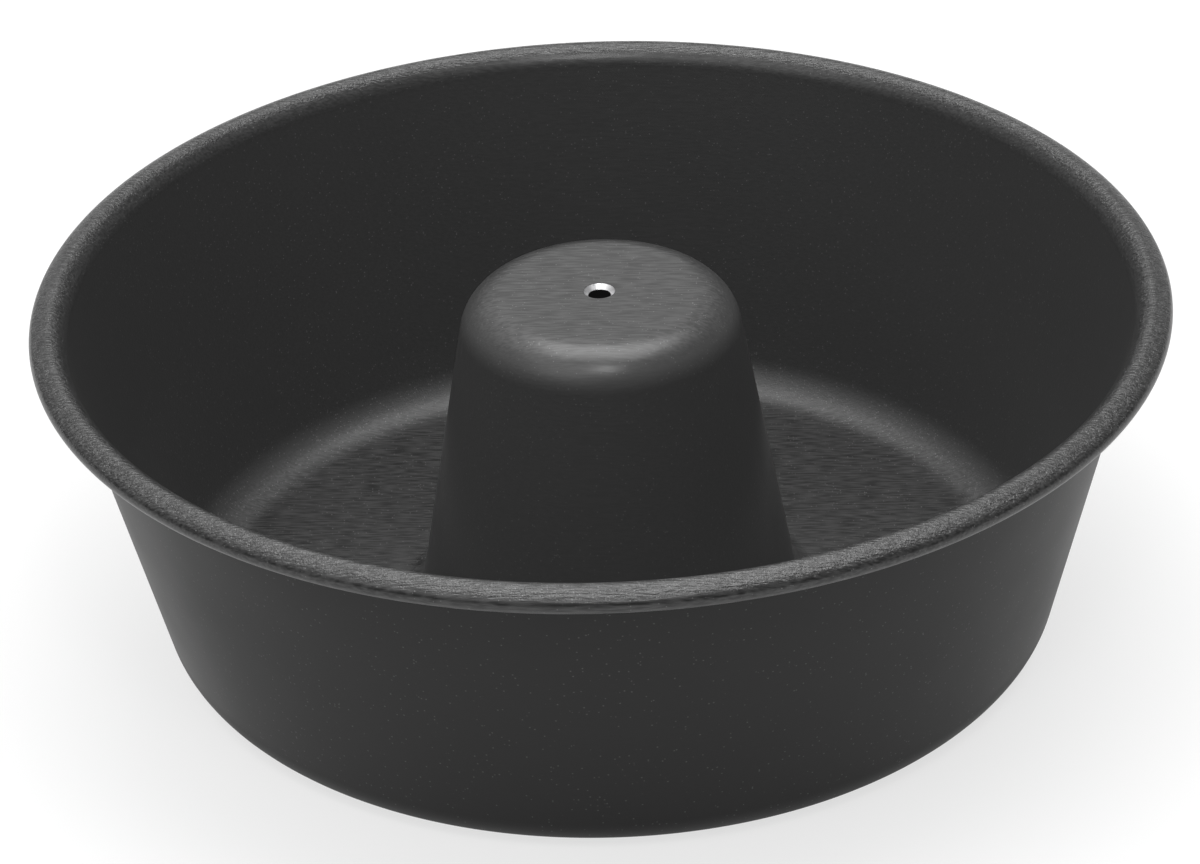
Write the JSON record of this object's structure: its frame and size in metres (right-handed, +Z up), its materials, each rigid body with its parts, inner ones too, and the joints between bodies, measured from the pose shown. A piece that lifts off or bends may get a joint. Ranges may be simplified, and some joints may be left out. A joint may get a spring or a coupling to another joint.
{
  "type": "ring cake pan",
  "caption": "Round tapered ring cake pan in coated pressed aluminium, with a hollow vented cone in the middle of its flat floor and a bowed lip whose edge is rolled under.",
  "frame": {"origin": "centre of the pan on the plane it rests on", "axes": "+Z up along the pan's axis, through the vent hole; the pan is round, so +X and +Y are any two directions across it"},
  "size_m": [0.254, 0.254, 0.082],
  "materials": {
    "bare_aluminium": "bare metal at the punched vent hole and at the cut edge under the rim",
    "nonstick": "dark charcoal non-stick film with a fine straight grain and tiny pale flecks",
    "satin_coat": "smooth satin charcoal film"
  },
  "bodies": {
    "root": {"pressed_sheet": "bare_aluminium", "nonstick_lining": "nonstick", "outer_coat": "satin_coat", "cone_coat": "satin_coat"}
  },
  "joints": []
}
